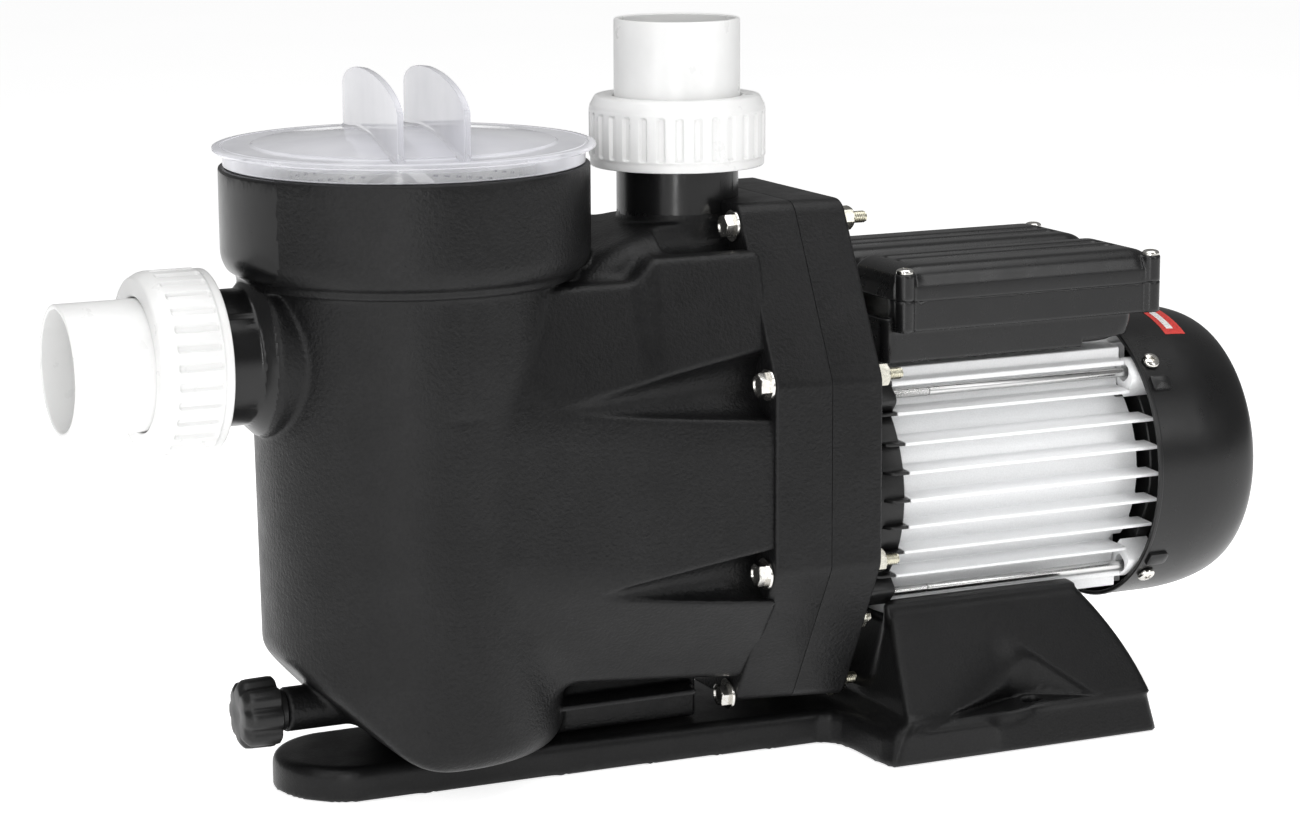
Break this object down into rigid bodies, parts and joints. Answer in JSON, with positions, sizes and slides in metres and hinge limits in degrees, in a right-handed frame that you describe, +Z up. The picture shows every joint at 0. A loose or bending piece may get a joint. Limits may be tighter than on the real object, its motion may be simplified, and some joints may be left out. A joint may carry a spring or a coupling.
{
  "type": "pool pump",
  "caption": "Pool circulation pump with a clear-lidded strainer pot, white pipe unions, a bolted volute casing, a finned motor with fan cowl and terminal box, and a moulded base.",
  "frame": {"origin": "on the floor under the discharge axis, in the plane of the shaft", "axes": "+X along the shaft from the suction pipe to the motor fan, +Z up along the discharge"},
  "size_m": [0.5964, 0.193, 0.3516],
  "materials": {
    "black_plastic": "fine-grained semi-matt moulding, glass-filled polypropylene",
    "gloss_black": "smooth moulded satin gloss",
    "black_paint": "black enamel on cast aluminium",
    "wet_plastic": "smooth moulded",
    "white_pvc": "smooth white PVC, satin gloss",
    "clear_lid": "clear polycarbonate, polished",
    "basket_plastic": "natural polypropylene",
    "rubber": "moulded",
    "stainless": "bright",
    "zinc_nut": "bright zinc",
    "silver_aluminium": "silver paint on extruded aluminium, satin",
    "lamination": "stacked electrical steel",
    "copper_wire": "varnished winding",
    "bearing_steel": "ground",
    "ceramic": "lapped",
    "capacitor_case": "plain moulded case"
  },
  "bodies": {
    "root": {"base_frame": "black_plastic", "pump_casing": "black_plastic", "seal_plate": "black_plastic", "casing_o_ring": "rubber", "diffuser": "wet_plastic", "mechanical_seal_seat": "ceramic", "front_bracket": "black_paint", "motor_housing": "silver_aluminium", "rear_bracket": "silver_aluminium", "stator_core": "lamination", "stator_winding": "copper_wire", "front_bearing": "bearing_steel", "rear_bearing": "bearing_steel", "fan_cover": "gloss_black", "terminal_box": "gloss_black", "terminal_box_cover": "gloss_black", "run_capacitor": "capacitor_case", "start_capacitor": "capacitor_case", "cable_gland": "gloss_black", "casing_bolt_near_1": "stainless", "casing_bolt_near_2": "stainless", "casing_bolt_near_3": "stainless", "casing_bolt_near_4": "stainless", "casing_bolt_far_1": "stainless", "casing_bolt_far_2": "stainless", "casing_bolt_far_3": "stainless", "casing_bolt_far_4": "stainless", "casing_nut_near_1": "zinc_nut", "casing_nut_near_2": "zinc_nut", "casing_nut_near_3": "zinc_nut", "casing_nut_near_4": "zinc_nut", "casing_nut_far_1": "zinc_nut", "casing_nut_far_2": "zinc_nut", "casing_nut_far_3": "zinc_nut", "casing_nut_far_4": "zinc_nut", "tie_rod_near_low": "stainless", "tie_rod_near_high": "stainless", "tie_rod_far_low": "stainless", "tie_rod_far_high": "stainless", "fan_cover_screw_near_low": "stainless", "fan_cover_screw_near_high": "stainless", "fan_cover_screw_far_low": "stainless", "fan_cover_screw_far_high": "stainless", "box_screw_near_front": "stainless", "box_screw_near_rear": "stainless", "box_screw_far_front": "stainless", "box_screw_far_rear": "stainless"},
    "rotor": {"shaft": "stainless", "rotor_core": "lamination", "impeller": "wet_plastic", "mechanical_seal_ring": "rubber", "cooling_fan": "wet_plastic"},
    "lid_seal": {"lid_o_ring": "rubber"},
    "lid": {"strainer_lid": "clear_lid"},
    "basket": {"strainer_basket": "basket_plastic"},
    "inlet_stub": {"inlet_tailpiece": "white_pvc"},
    "inlet_nut": {"inlet_union_nut": "white_pvc"},
    "outlet_stub": {"outlet_tailpiece": "white_pvc"},
    "outlet_nut": {"outlet_union_nut": "white_pvc"},
    "drain": {"drain_plug": "black_plastic"}
  },
  "joints": [
    {"name": "shaft_spin", "type": "hinge", "parent": "root", "child": "rotor", "pos_m": [0, 0, 0.1216], "axis": [1, 0, 0], "continuous": true},
    {"name": "lid_lift", "type": "slide", "parent": "root", "child": "lid_seal", "axis": [0, 0, 1], "range_m": [0, 0.42]},
    {"name": "lid_turn", "type": "hinge", "parent": "lid_seal", "child": "lid", "pos_m": [-0.1387, 0, 0.2908], "axis": [0, 0, 1], "range_deg": [0, 90]},
    {"name": "basket_lift", "type": "slide", "parent": "root", "child": "basket", "axis": [0, 0, 1], "range_m": [0, 0.2312]},
    {"name": "inlet_stub_pull", "type": "slide", "parent": "root", "child": "inlet_stub", "axis": [-1, 0, 0], "range_m": [0, 0.04]},
    {"name": "inlet_nut_turn", "type": "hinge", "parent": "inlet_stub", "child": "inlet_nut", "pos_m": [-0.2692, 0, 0.2065], "axis": [1, 0, 0], "continuous": true},
    {"name": "outlet_stub_pull", "type": "slide", "parent": "root", "child": "outlet_stub", "axis": [0, 0, 1], "range_m": [0, 0.04]},
    {"name": "outlet_nut_turn", "type": "hinge", "parent": "outlet_stub", "child": "outlet_nut", "pos_m": [0, 0, 0.3154], "axis": [0, 0, 1], "continuous": true},
    {"name": "drain_plug_turn", "type": "hinge", "parent": "root", "child": "drain", "pos_m": [-0.2044, 0, 0.0385], "axis": [1, 0, 0], "continuous": true}
  ],
  "couplings": [
    {"joint": "basket_lift", "follows": "lid_lift", "ratio": 0.55}
  ]
}
